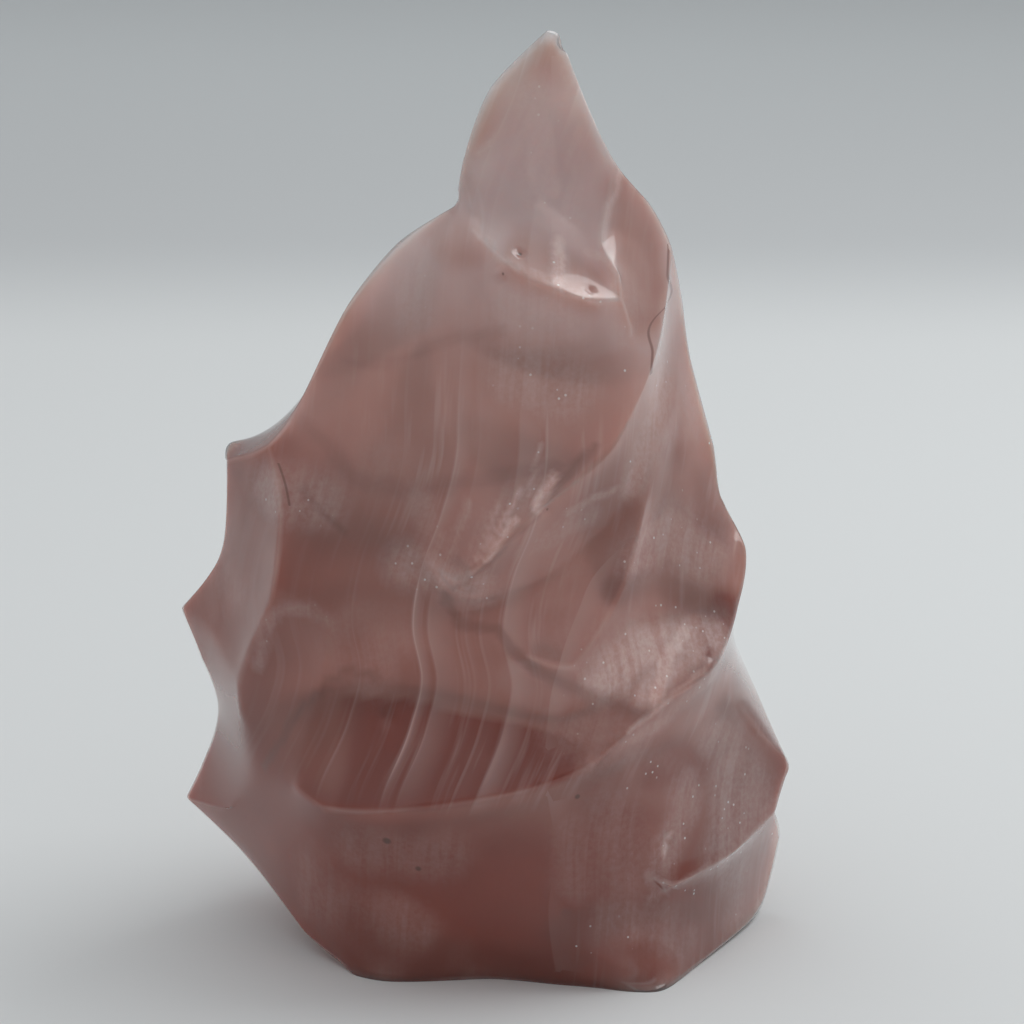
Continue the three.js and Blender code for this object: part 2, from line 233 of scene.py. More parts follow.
# All veils: how far they reach from the bend, how wide their thin lines are, how much and over which
# length they waver in mm, and how strong the streaks between them are
VEIL_REACH = 36
VEIL_LINE_WIDTH = 0.4
VEIL_WAVER = 0.8
VEIL_WAVER_LENGTH = 22
VEIL_STREAKS = 0.45

# Veils seen edge on, from left to right: distance in mm from the bend, strength of the thin line,
# strength of the milk on its right, and width of that milk in mm
UPPER_VEILS = [
    (-9.7, 0.25, 0.05, 2.0),
    (0.0, 0.50, 0.30, 3.0),
    (4.0, 0.35, 0.25, 6.5),
    (11.5, 0.50, 0.60, 4.2),
    (16.5, 0.70, 0.25, 5.0),
]
LOWER_VEILS = [
    (-11.5, 0.60, 0.18, 7.0),
    (0.0, 0.75, 0.45, 2.0),
    (2.8, 0.50, 0.40, 5.0),
    (9.5, 0.25, 0.10, 1.5),
    (12.2, 0.60, 0.15, 3.0),
    (16.5, 0.50, 0.50, 5.0),
]

# The lower veils fade into the upper ones between these heights in mm
LOWER_VEILS_UNDER = 92
UPPER_VEILS_OVER = 72

# The veils are stronger and weaker in long patches: size across them, in depth and up the stone in mm,
# the values of the noise where they set in, and what is left of the veils between the patches
VEIL_PATCH = (7, 30, 45)
VEIL_PATCHES = (-0.5, 0.3)
VEIL_LEAST = 0.35

# The veils are weaker at the stone's left edge, and left of their bend: where, in mm, and what is left
CALM_EDGE_AT = (-50, -38)
CALM_EDGE = 0.4
CALM_SIDE_AT = (-15, -6)
CALM_SIDE = 0.5

# Veils under the skirt: their strength, and how far down and to the right they set in, in mm
SKIRT_VEILS = 0.6
SKIRT_VEILS_UNDER = (46, 36)
SKIRT_VEILS_RIGHT_OF = (6, 20)

# How strong the veils are up the stone, in mm
VEILS_UP = [(0, 0.0), (37, 0.0), (43, 0.9), (60, 0.8), (75, 1.0), (100, 0.9), (115, 0.45),
            (135, 0.5), (150, 1.0), (176, 1.0)]

# Veils that go their own ways: one up the horn, one that leans, and one under the skirt,
# as (z, x) places in mm
LONE_VEILS = [
    [(172, 7.4), (138, 7.4)],
    [(84, 20.5), (78.7, 15), (73.6, 12.4), (68, 9.8), (61.5, 7.8), (48, 6)],
    [(42, 6.5), (30, 8), (15, 7), (2, 8.5)],
]

# Strength of their thin line and of the milk on its right, width of that milk in mm, and how strong
# they are up the stone
LONE_VEIL_LINE = 0.28
LONE_VEIL_MILK = 0.34
LONE_VEIL_WIDTH = 6.0
LONE_VEILS_UP = [(0, 0.4), (38, 0.4), (48, 0.9), (80, 0.7), (140, 0.8), (160, 1.2), (172, 0.8)]

# Milky smears inside the front, and painted highlights and painted light where facets catch the light:
# strength, half width in mm, and (x, z) places in mm
SMEARS_AND_HIGHLIGHTS = [
    (0.85, 1.6, [(-4.5, 84.5), (-1.5, 88), (0.8, 90.8)]),
    (0.75, 1.1, [(-3.5, 87.5), (-0.5, 91.5), (2, 95.5)]),
    (0.6, 1.1, [(-6.3, 84.5), (-3.8, 89), (-1.8, 93.5)]),
    (0.9, 1.8, [(4.2, 92.4), (6.3, 95), (7.8, 97.5)]),
    (0.6, 1.1, [(3.5, 94.5), (5, 98.5), (6.2, 103)]),
    (0.35, 5.5, [(-4.9, 87), (0.5, 93), (6, 97)]),
    (0.45, 1.5, [(-13.1, 77.5), (-12.2, 82.8), (-10.4, 88.3), (-7.6, 93.4)]),
    (0.4, 1.3, [(-10.5, 78), (-9, 83), (-6.5, 88), (-4, 92)]),
    (0.35, 4.5, [(-17.4, 92.4), (-16.5, 89.2), (-15, 85.9)]),
    (0.5, 1.4, [(9.6, 90.9), (14.2, 93), (18.3, 93.7)]),
    (0.4, 3.0, [(2, 84), (8, 88), (14, 90)]),
    # Painted highlight and painted light in the next three: the bright fold in the right hollow, and the
    # lit hollow around and above it
    (1.0, 3.6, [(26.8, 56.7), (28.8, 60.8), (32.3, 65)]),
    (0.85, 8.0, [(17, 61), (23, 65), (30, 64), (37, 63)]),
    (0.55, 8.5, [(24, 81), (30, 84), (36, 78)]),
    # Painted highlight along the lip of the right hollow
    (0.6, 1.3, [(40.8, 61.4), (36.5, 58.6), (31.6, 55.5), (25.8, 53.2), (21.5, 51.8)]),
    (0.3, 6.0, [(14, 46), (22, 48)]),
    (0.45, 2.6, [(14, 46), (21.1, 49.4), (28.4, 50.5), (35.8, 55.4), (40, 60)]),
    (0.45, 7.0, [(39.5, 43.5), (44.7, 35), (49, 28)]),
    (0.9, 1.3, [(28.7, 25.2), (29.6, 28.2)]),
    (0.45, 5.5, [(27.7, 21.3), (29.5, 26.9), (32.6, 31.4), (31.9, 36.5)]),
    # Painted highlight along the fin's lower ridge
    (0.5, 1.2, [(26.3, 16.9), (32.8, 19), (42.9, 21.4), (50.8, 25.4)]),
    (0.4, 6.0, [(42.7, 14), (46.6, 9.7), (44.5, 4.7)]),
    (0.3, 6.0, [(24, 11), (31.8, 6)]),
    (0.4, 2.2, [(-48.1, 60.1), (-46.5, 68.5), (-43, 71.7), (-37.4, 71.2), (-33.6, 68.8)]),
    (0.5, 3.8, [(10.5, 170), (10.8, 155), (11, 142)]),
    (0.5, 1.2, [(-6.1, 153.3), (-3.3, 156.6)]),
    (0.6, 1.4, [(19.4, 149.8), (19.4, 146.6), (17.3, 144.2), (16.9, 138.4)]),
    (0.5, 1.2, [(14.3, 137), (18.1, 136), (19.8, 132.9), (19.5, 128.9)]),
    # Painted highlight on the lens-shaped shelf, which faces up to the light
    (0.8, 2.8, [(8.8, 137.3), (8.8, 135.3), (8.7, 132.1)]),
    (0.5, 1.3, [(-4.9, 138.9), (-3.3, 136.1), (0.5, 134.4), (4.9, 132.9), (9.8, 130.9), (16.9, 128.8)]),
    (0.35, 9.0, [(0, 126), (8, 126)]),
    (0.35, 7.0, [(-18, 130), (-18, 124)]),
    (0.22, 7.0, [(12, 32), (12, 22)]),
    (0.26, 9.0, [(18, 36), (22, 22)]),
    (0.28, 9.0, [(20, 14), (28, 10)]),
    # Painted light on the sweep facet, which faces up to the light
    (0.6, 4.5, [(31, 125), (29.5, 112), (26.5, 102), (22, 93)]),
    (0.56, 9.5, [(1, 116), (10, 113)]),
    (0.58, 8.0, [(4, 163), (6, 147)]),
    (0.50, 8.0, [(-44, 92), (-35, 91)]),
    (0.60, 7.0, [(-20, 81), (-6, 79)]),
    (0.24, 9.0, [(-28, 28), (-14, 28)]),
    (0.55, 8.0, [(42, 36), (43, 28), (41, 20)]),
    # Painted light in the right hollow
    (0.75, 6.0, [(24, 58), (33, 61)]),
    (0.40, 7.0, [(9, 52), (17, 52)]),
]

# Painted shade: a deep red zone under the front face, where the face above the skirt ridge is in shade.
# Its top and the skirt ridge that ends it, as (x, z) places in mm
RED_ZONE_TOP = [(-35, 56), (-29, 56.5), (-20, 57), (-9.5, 55.5), (0, 54), (11, 51), (20, 48)]
SKIRT_RIDGE = [(-42, 38), (-35, 36.5), (-23, 38), (-3, 41.5), (14, 46), (25, 54)]

# How soft its top and the edge at the skirt are, and where it sets in from the left, from the right and
# from behind, all in mm
RED_ZONE_TOP_EDGE = (-0.6, 0.8)
RED_ZONE_SKIRT_EDGE = (-0.4, 0.4)
RED_ZONE_FROM_LEFT = (-34, -27)
RED_ZONE_FROM_RIGHT = (15, 9)
RED_ZONE_FROM_BEHIND = (-18, -24)

# Painted shade: soft darker lines where refraction inside the stone darkens its front. Strength, half
# width in mm, and (x, z) places in mm
PAINTED_REFRACTION_SHADES = [
    (0.22, 2.0, [(-40, 104), (-33, 99), (-29, 95), (-20, 93.5), (-10, 96), (-2, 98), (9, 99)]),
    (0.45, 1.6, [(-12, 76), (-9.5, 71), (-2, 70.5), (0, 67), (9, 62), (16, 58), (25, 53.5)]),
    (0.30, 2.6, [(8.6, 62.1), (13.7, 59.4), (19.8, 56.2), (23.5, 54.2)]),
    (0.45, 1.2, [(-46, 39), (-43, 45), (-38, 54), (-34, 58.5), (-31, 61), (-25, 61)]),
    (0.15, 1.6, [(-31, 115), (-15, 117), (-8, 121), (-2, 123)]),
    (0.34, 3.5, [(18.9, 76.3), (27.5, 75), (35.3, 70.4), (39, 67)]),
    (0.30, 1.1, [(-38.5, 93), (-35, 90), (-30.5, 86)]),
    (0.40, 1.0, [(-13, 75), (-8.3, 80.5), (-3.5, 84.3), (2.2, 89.5), (9.5, 97), (15.5, 103)]),
]

# Cracks: the stepped one on the right, and the brown one at the left edge, as (z, x) places in mm
STEPPED_CRACK = [(137, 29.5), (130, 29.1), (124.6, 28.9), (123.2, 26.6), (117, 26), (112, 25.6)]
BROWN_CRACK = [(98, -44), (93, -42), (88.5, -41)]

# Distance in mm from a crack's middle where it has faded out, and where it is full
STEPPED_CRACK_EDGE = (0.4, 0.1)
BROWN_CRACK_EDGE = (0.35, 0.1)
BROWN_CRACK_STRENGTH = 0.6

# The stepped crack fades out between these depths (y) in mm
CRACK_ENDS = (3, 5)

# How steeply the distance to a veil or crack grows past its ends, so that it ends there
RUN_OFF = 300

# Small brown marks in pits: centre and radius in mm, full over this share of the radius
MARK_CORE = 0.4
BROWN_MARKS = [
    ((1.5, -14.1, 136.7), 0.6),
    ((-1.8, -16.2, 133.2), 0.5),
    ((6.5, -30.6, 92.6), 0.45),
    ((-23.1, -35.5, 30.7), 1.1),
    ((-17.4, -34.3, 24.7), 0.8),
    ((12, -37.3, 40), 0.7),
]

# Light that has turned this often inside the stone adds next to nothing
LIGHT_BOUNCES = 7

# Strength of the studio's light at floor level, and what is added straight up
LIGHT_LEVEL = 0.445
LIGHT_ABOVE = 0.445

# Paper of the floor and backdrop: its colour near the stone, and in painted shade past the first fall in
# light behind it and far back, with where each fall starts and ends in m behind the stone
PAPER = (0.715, 0.737, 0.74, 1)
PAPER_IN_PAINTED_SHADE = (0.57, 0.59, 0.60, 1)
PAPER_FAR_IN_PAINTED_SHADE = (0.63, 0.66, 0.67, 1)
FIRST_FALL = (0.52, 0.76)
SECOND_FALL = (0.75, 1.40)
PAPER_ROUGHNESS = 0.75

# The studio's light from the camera's side and from behind the stone, and how it goes from one to the
# other and from level to straight up
LIGHT_IN_FRONT = (0.68, 0.68, 0.69, 1)
LIGHT_BEHIND = (1.12, 1.14, 1.15, 1)
FRONT_TO_BACK = (-0.5, 0.5)
LEVEL_TO_TOP = (0.0, 0.9)

# The lamp above the stone: width and depth in m, power in W, and where it hangs in m
LAMP_SIZE = (0.9, 0.6)
LAMP_POWER = 3.5
LAMP_PLACE = Vector((0.6, 0.3, 0.85))


# Fine surface

def welded(mesh):
    """Points and triangles of a mesh, with the points that share a place joined."""
    mesh.calc_loop_triangles()
    places = np.empty(len(mesh.vertices) * 3)
    mesh.vertices.foreach_get("co", places)
    corners = np.empty(len(mesh.loop_triangles) * 3, int)
    mesh.loop_triangles.foreach_get("vertices", corners)
    rounded_off = places.reshape(-1, 3).round(WELD_DIGITS)
    points, joined = np.unique(rounded_off, axis=0, return_inverse=True)
    return points, joined.reshape(-1)[corners].reshape(-1, 3)


def edges_of(triangles):
    """Each edge once, and for each triangle side the edge that it is."""
    sides = triangles[:, [0, 1, 1, 2, 2, 0]].reshape(-1, 2)
    edges, side_edges = np.unique(np.sort(sides, axis=1), axis=0, return_inverse=True)
    return edges, side_edges.reshape(-1)


def facet_normals(points, triangles):
    """Outward direction of each triangle, one long."""
    a, b, c = (points[triangles[:, i]] for i in range(3))
    normals = np.cross(b - a, c - a)
    return normals / np.linalg.norm(normals, axis=1, keepdims=True)


def find_ridges(points, triangles):
    """Edges where the surface turns sharply, without the short ones that lie alone."""
    edges, side_edges = edges_of(triangles)
    order = np.argsort(side_edges, kind="stable")
    left, right = order[0::2] // 3, order[1::2] // 3
    normals = facet_normals(points, triangles)
    sharp = (normals[left] * normals[right]).sum(axis=1) < cos(RIDGE_ANGLE)
    ridges = [tuple(edge) for edge in edges[sharp]]

    group = {}
    for a, b in ridges:
        joined = group.get(a, {a}) | group.get(b, {b})
        for point in joined:
            group[point] = joined
    return [edge for edge in ridges if len(group[edge[0]]) > SHORTEST_RIDGE]


def outer_point(points, start, end, ridge_neighbours):
    """Next point of the ridge past start, or the ridge run on straight where it ends or turns off."""
    along = points[end] - points[start]
    best, outer = STRAIGHT_ON, 2 * points[start] - points[end]
    for other in ridge_neighbours[start]:
        if other != end:
            step = points[start] - points[other]
            match = step @ along / (np.linalg.norm(step) * np.linalg.norm(along))
            if match > best:
                best, outer = match, points[other]
    return outer


def rounded(points, triangles, ridges):
    """One step of Loop's rounding, with the ridges kept sharp on smooth curves."""
    edges, side_edges = edges_of(triangles)
    opposite = triangles[:, [2, 0, 1]].reshape(-1)
    halfway = (points[edges[:, 0]] + points[edges[:, 1]]) * 3 / 8
    np.add.at(halfway, side_edges, points[opposite] / 8)

    number = {tuple(edge): i for i, edge in enumerate(edges)}
    ridge_neighbours = {}
    for a, b in ridges:
        ridge_neighbours.setdefault(a, []).append(b)
        ridge_neighbours.setdefault(b, []).append(a)
    finer_ridges = []
    for a, b in ridges:
        middle = number[(a, b)]
        outer = outer_point(points, a, b, ridge_neighbours)
        outer = outer + outer_point(points, b, a, ridge_neighbours)
        halfway[middle] = (points[a] + points[b]) * 9 / 16 - outer / 16
        finer_ridges += [(a, len(points) + middle), (b, len(points) + middle)]

    count = np.bincount(edges.reshape(-1))
    around = np.zeros_like(points)
    np.add.at(around, edges[:, 0], points[edges[:, 1]])
    np.add.at(around, edges[:, 1], points[edges[:, 0]])
    share = (5 / 8 - (3 / 8 + np.cos(2 * pi / count) / 4) ** 2) / count
    kept = points * (1 - count * share)[:, None] + around * share[:, None]
    fixed = ridge_points(ridges, len(points))
    kept[fixed] = points[fixed]

    ab, bc, ca = (side_edges.reshape(-1, 3)[:, i] + len(points) for i in range(3))
    a, b, c = triangles.T
    finer = np.stack([a, ab, ca, ab, b, bc, ca, bc, c, ab, bc, ca], axis=1).reshape(-1, 3)
    return np.vstack([kept, halfway]), finer, finer_ridges


def ridge_points(ridges, count):
    """Points that a ridge runs through: its faded end isn't one of them."""
    touching = np.bincount(np.array(ridges).reshape(-1), minlength=count)
    return np.flatnonzero(touching > 1)


def middle_of_neighbours(points, edges):
    """Mean of the points that an edge joins to each point."""
    around = np.zeros_like(points)
    np.add.at(around, edges[:, 0], points[edges[:, 1]])
    np.add.at(around, edges[:, 1], points[edges[:, 0]])
    return around / np.bincount(edges.reshape(-1))[:, None]


def polished(points, triangles, ridges):
    """Draws the points between the ridges towards the middle of their neighbours."""
    edges, _ = edges_of(triangles)
    fixed = ridge_points(ridges, len(points))
    for _ in range(POLISH_PASSES):
        smoother = points + (middle_of_neighbours(points, edges) - points) * POLISH_STRENGTH
        smoother[fixed] = points[fixed]
        points = smoother
    return points


def worn(points, triangles, ridges):
    """Takes the keen edge off the ridges, and leaves the flat foot flat."""
    edges, _ = edges_of(triangles)
    on_ridge = ridge_points(ridges, len(points))
    on_ridge = on_ridge[points[on_ridge, 2] > UNWORN_FOOT]
    middle = middle_of_neighbours(points, edges)
    softer = points.copy()
    softer[on_ridge] += (middle[on_ridge] - points[on_ridge]) * RIDGE_WEAR
    return softer


def outward_from(points, triangles):
    """Outward direction at each point, one long."""
    normals = facet_normals(points, triangles)
    outward = np.zeros_like(points)
    for i in range(3):
        np.add.at(outward, triangles[:, i], normals)
    return outward / np.linalg.norm(outward, axis=1, keepdims=True)


def chipped(points, triangles):
    """Takes small pits and chips out of the surface."""
    outward = outward_from(points, triangles)
    depth = np.zeros(len(points))
    for centre, radius, deepest in CHIPS:
        share = np.linalg.norm(points / MM - centre, axis=1) / radius
        depth = np.maximum(depth, smooth_step(share, 1, CHIP_FLOOR) * deepest * MM)
    return points - outward * depth[:, None]


def rippled(points, triangles):
    """Slight waves that hand polishing leaves in the facets."""
    outward = outward_from(points, triangles)
    depth = np.array([noise.noise(Vector(point) / RIPPLE_LENGTH) for point in points]) * RIPPLE_DEPTH
    depth *= np.clip(points[:, 2] / CALM_FOOT, 0, 1)
    return points + outward * depth[:, None]


# Soft changes in the stone, worked out at the points of its mesh

def smooth_step(value, start, end):
    """0 at start, 1 at end, with a soft rise or fall between them."""
    share = np.clip((value - start) / (end - start), 0, 1)
    return share * share * (3 - 2 * share)


def raised(share, least):
    """A share from 0 to 1, drawn into the range from least to 1."""
    return least + (1 - least) * share


def smooth_curve(value, places):
    """Reads a smooth curve through (value, result) places, which runs on level past its ends."""
    given, result = np.array(sorted(places), float).T
    slope = np.gradient(result, given)
    value = np.clip(value, given[0], given[-1])
    first = np.clip(np.searchsorted(given, value) - 1, 0, len(given) - 2)
    width = given[first + 1] - given[first]
    share = (value - given[first]) / width
    left = 1 - share
    start = left * left * (1 + 2 * share) * result[first]
    end = share * share * (3 - 2 * share) * result[first + 1]
    bends = share * left * width * (left * slope[first] - share * slope[first + 1])
    return start + end + bends


def waves(places, length, octaves=1):
    """Smooth random value, about -1 to 1, with waves of a length in mm."""
    return np.array([noise.fractal(place, 1.0, 2.0, octaves) for place in (places / length).tolist()])


def churned(places, length, reach):
    """The same places moved about by smooth random steps, which makes drawn shapes uneven."""
    steps = np.array([noise.noise_vector(place) for place in (places / length).tolist()])
    return places + steps * reach


def near_path(x, z, path, half_width):
    """1 on a path of (x, z) places seen from the front, and 0 past half its width to either side."""
    nearest = np.full(len(x), np.inf)
    for (start_x, start_z), (end_x, end_z) in zip(path, path[1:]):
        run_x, run_z = end_x - start_x, end_z - start_z
        share = ((x - start_x) * run_x + (z - start_z) * run_z) / (run_x ** 2 + run_z ** 2)
        share = np.clip(share, 0, 1)
        off = np.hypot(x - start_x - share * run_x, z - start_z - share * run_z)
        nearest = np.minimum(nearest, off)
    return smooth_step(nearest, half_width, half_width * PATH_CORE)


def strongest_near(x, z, paths):
    """The strongest of the drawn paths at each place, and 0 away from all of them."""
    strongest = np.zeros(len(x))
    for strength, half_width, path in paths:
        strongest = np.maximum(strongest, near_path(x, z, path, half_width) * strength)
    return strongest


def past_ends(along, path):
    """How far a place is past the ends of a line, in mm, or below 0 between them."""
    ends = [given for given, _ in path]
    return np.maximum(min(ends) - along, along - max(ends))


def off_line(across, along, path, behind):
    """Distance to the right of a line through (along, across) places. It runs off steeply past the
    line's ends, and behind the front, so that the line ends there."""
    steepness = 1 + RUN_OFF * np.clip(past_ends(along, path) + 1, 0, 1) + RUN_OFF * behind
    return (across - smooth_curve(along, path)) * steepness


def thickness_at(points, triangles):
    """How far it is through the stone in mm, straight in from each point."""
    tree = BVHTree.FromPolygons(points.tolist(), triangles.tolist())
    inward = -outward_from(points, triangles)
    starts = points + inward * RAY_START
    rays = zip(starts.tolist(), inward.tolist())
    through = [tree.ray_cast(place, way)[3] or 0.0 for place, way in rays]
    through = np.array(through)[:, None]
    edges, _ = edges_of(triangles)
    for _ in range(THICKNESS_SMOOTHING):
        through = middle_of_neighbours(through, edges)
    return through[:, 0] / MM


def painted_red_shade_at(x, y, z):
    """1 in the painted shade of the deep red zone between the front face's fold and the skirt ridge."""
    under_top = smooth_step(smooth_curve(x, RED_ZONE_TOP) - z, *RED_ZONE_TOP_EDGE)
    over_skirt = smooth_step(z - smooth_curve(x, SKIRT_RIDGE), *RED_ZONE_SKIRT_EDGE)
    sides = smooth_step(x, *RED_ZONE_FROM_LEFT) * smooth_step(x, *RED_ZONE_FROM_RIGHT)
    return under_top * over_skirt * sides * smooth_step(y, *RED_ZONE_FROM_BEHIND)


def veils_at(places, across):
    """How strong the veils are: in long patches, weaker on the left, with some more under the skirt."""
    x, y, z = places.T
    patches = smooth_step(waves(np.stack([across, y, z], axis=1) / VEIL_PATCH, 1), *VEIL_PATCHES)
    under_skirt = SKIRT_VEILS * smooth_step(z, *SKIRT_VEILS_UNDER) * smooth_step(x, *SKIRT_VEILS_RIGHT_OF)
    calm_edge = raised(smooth_step(x, *CALM_EDGE_AT), CALM_EDGE)
    calm_side = raised(smooth_step(across, *CALM_SIDE_AT), CALM_SIDE)
    strength = np.maximum(smooth_curve(z, VEILS_UP), under_skirt)
    return strength * raised(patches, VEIL_LEAST) * (calm_edge * calm_side)


def off_lone_veil_at(x, z):
    """Distance in mm to the right of the lone veil that has this height, as each has its own stretch."""
    nearest = np.argmin([past_ends(z, path) for path in LONE_VEILS], axis=0)
    return np.choose(nearest, [off_line(x, z, path, 0) for path in LONE_VEILS])


def painted_ridge_highlight_at(places, on_ridge):
    """Painted highlights in patches along the worn ridges."""
    ridge_highlight = np.zeros(len(places))
    ridge_highlight[on_ridge] = 1
    return ridge_highlight * smooth_step(waves(places, RIDGE_PATCH_LENGTH), *RIDGE_PATCHES)


def flaws_at(places, smears_and_highlights):
    """Where tiny flaws show as painted glints: in its milky smears and painted highlights, and in patches
    on the right.
    """
    patches = smooth_step(waves(places, FLAW_PATCH_LENGTH, 2), *FLAW_PATCHES)
    return np.maximum(smears_and_highlights, patches * smooth_step(places[:, 0], *FLAWS_RIGHT_OF))


def stone_fields(points, triangles, on_ridge):
    """Named fields for the material: distances in mm, and strengths from 0 to 1."""
    places = points / MM
    x, y, z = places.T
    horn = smooth_step(z, *HORN_STARTS)
    behind = smooth_step(y - HORN_SET_BACK * horn, *FRONT_ENDS)
    front = 1 - behind
    across = x - smooth_curve(z, VEIL_BEND) + waves(places, VEIL_WAVER_LENGTH) * VEIL_WAVER

    clouds = waves(churned(places, *CLOUD_CHURN), CLOUD_LENGTH, 3)
    moved = churned(churned(places, *COARSE_CHURN), *FINE_CHURN)
    # The smears hold painted highlights and painted light as well as milk
    smears_and_highlights = strongest_near(moved[:, 0], moved[:, 2], SMEARS_AND_HIGHLIGHTS) * front
    # Painted shade of the refraction inside the stone
    painted_shade = strongest_near(moved[:, 0], moved[:, 2], PAINTED_REFRACTION_SHADES) * front
    deeper = strongest_near(moved[:, 0], moved[:, 2], DEEPER) * front
    thin = smooth_step(thickness_at(points, triangles), *THICK_TO_THIN)

    # Milk holds the painted highlights and painted light of the smears
    milk = np.maximum(smears_and_highlights, smooth_step(clouds, *MILKY_CLOUDS) * CLOUD_MILK)
    haze = smooth_curve(z, HAZE_UP) + HAZE_OF_CLOUDS * clouds
    haze = haze + HAZE_OF_LEFT * smooth_step(x, *HAZY_LEFT_OF)
    haze = np.maximum(haze, milk)
    # The depth of the colour holds painted shade and painted light: the deeper foot, the paler top and
    # the red zone
    depth = smooth_curve(z, DEPTH_AND_PAINTED_LIGHT_UP) + smooth_curve(x, DEPTH_ACROSS) + DEPTH_OF_CLOUDS * clouds
    depth = depth + PAINTED_SHADE_OF_RED_ZONE * painted_red_shade_at(x, y, z) + DEPTH_OF_THIN * thin + deeper
    return {
        "across_veils": across,
        "veils": veils_at(places, across),
        "upper_share": smooth_step(z, UPPER_VEILS_OVER, LOWER_VEILS_UNDER),
        "off_lone_veil": off_lone_veil_at(x, z),
        "lone_veils": smooth_curve(z, LONE_VEILS_UP),
        "off_stepped_crack": off_line(x, z, STEPPED_CRACK, smooth_step(y, *CRACK_ENDS)),
        "off_brown_crack": off_line(x, z, BROWN_CRACK, behind),
        "milk": np.clip(milk, 0, 1),
        "haze": np.clip(haze, 0, 1),
        "depth": np.clip(depth, 0, 1),
        "painted_shade": np.clip(painted_shade, 0, 1),
        "ridge_highlight": painted_ridge_highlight_at(places, on_ridge),
        "flaws": np.clip(flaws_at(places, smears_and_highlights), 0, 1),
    }


def stone_mesh():
    """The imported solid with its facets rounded, and with the material's fields on its points."""
    points, triangles = welded(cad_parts[NODE].data)
    ridges = find_ridges(points, triangles)
    for _ in range(ROUNDING_STEPS):
        points, triangles, ridges = rounded(points, triangles, ridges)
        points = polished(points, triangles, ridges)
    points = worn(points, triangles, ridges)
    points = rippled(points, triangles)
    points = chipped(points, triangles)
    points[:, 2] = np.maximum(points[:, 2], 0)
    on_ridge = ridge_points(ridges, len(points))
    mesh = bpy.data.meshes.new("flame_stone")
    mesh.from_pydata(points.tolist(), [], triangles.tolist())
    mesh.polygons.foreach_set("use_smooth", [True] * len(mesh.polygons))
    for name, values in stone_fields(points, triangles, on_ridge).items():
        mesh.attributes.new(name, "FLOAT", "POINT").data.foreach_set("value", values)
    mesh.update()
    return mesh


# Materials

class Graph:
    """Adds nodes to a node tree. An input is a number, a colour or another node's output."""

    def __init__(self, tree):
        self.tree = tree
        self.tree.nodes.clear()

    def add(self, kind, inputs=None, **settings):
        node = self.tree.nodes.new(kind)
        for name, value in settings.items():
            setattr(node, name, value)
        for key, value in (inputs or {}).items():
            self.plug(node.inputs[key], value)
        return node

    def plug(self, socket, value):
        if isinstance(value, bpy.types.NodeSocket):
            self.tree.links.new(value, socket)
        else:
            socket.default_value = value

    def field(self, name):
        """One of the stone's fields, read from its mesh."""
        return self.add("ShaderNodeAttribute", attribute_name=name).outputs["Fac"]

    def math(self, operation, *values):
        return self.add("ShaderNodeMath", dict(enumerate(values)), operation=operation).outputs[0]

    def step(self, value, start, end):
        """0 at start, 1 at end, with a soft rise or fall between them."""
        limits = {"Value": value, "From Min": start, "From Max": end}
        return self.add("ShaderNodeMapRange", limits, interpolation_type="SMOOTHSTEP").outputs[0]

    def product(self, *values):
        result = values[0]
        for value in values[1:]:
            result = self.math("MULTIPLY", result, value)
        return result

    def strongest(self, values):
        result = values[0]
        for value in values[1:]:
            result = self.math("MAXIMUM", result, value)
        return result

    def mix(self, share, first, second):
        """The first colour at share 0 and the second at share 1, through the node's colour sockets."""
        mixer = self.add("ShaderNodeMix", data_type="RGBA")
        self.plug(mixer.inputs[0], share)
        self.plug(mixer.inputs[6], first)
        self.plug(mixer.inputs[7], second)
        return mixer.outputs[2]

    def ramp(self, value, stops):
        """Colour at a value from 0 to 1, straight between the stops."""
        node = self.add("ShaderNodeValToRGB", {0: value})
        elements = node.color_ramp.elements
        while len(elements) < len(stops):
            elements.new(0.5)
        for element, (position, colour) in zip(elements, stops):
            element.position = position
            element.color = colour
        return node.outputs[0]

    def noise(self, place, scale, detail=2.0, roughness=0.5):
        """Smooth random value from 0 to 1, and scale is how many waves there are in a millimetre."""
        settings = {"Vector": place, "Scale": scale, "Detail": detail, "Roughness": roughness}
        return self.add("ShaderNodeTexNoise", settings).outputs[0]


def veil_profile(graph, across, veils):
    """Strength of the milk at a distance from the bend: veils are thin lines with milk on their right."""
    stops = [(-VEIL_REACH, 0.0), (VEIL_REACH, 0.0)]
    last_end, last_milk, last_width = -VEIL_REACH, 0.0, 1.0
    for i, (distance, line, milk, width) in enumerate(veils):
        left_over = max(0.0, last_milk * (last_end - distance) / last_width)
        stops.append((distance - VEIL_LINE_WIDTH, left_over))
        stops.append((distance, max(line, milk)))
        stops.append((distance + VEIL_LINE_WIDTH, milk))
        last_end, last_milk, last_width = distance + width, milk, width
        if i + 1 == len(veils) or veils[i + 1][0] > last_end:
            stops.append((last_end, 0.0))
    share = graph.math("MULTIPLY_ADD", across, 0.5 / VEIL_REACH, 0.5)
    return graph.ramp(share, [
        (0.5 + 0.5 * distance / VEIL_REACH, (strength, strength, strength, 1))
        for distance, strength in sorted(stops)
    ])


def single_veil(graph, off_edge, line, milk, width):
    """Strength of one veil at a distance to the right of its line."""
    thin = graph.step(graph.math("ABSOLUTE", off_edge), VEIL_LINE_WIDTH, 0.0)
    from_edge = graph.step(off_edge, -VEIL_LINE_WIDTH, 0.0)
    to_end = graph.step(off_edge, width, 0.0)
    beside = graph.product(from_edge, to_end, milk)
    return graph.math("MAXIMUM", graph.math("MULTIPLY", thin, line), beside)


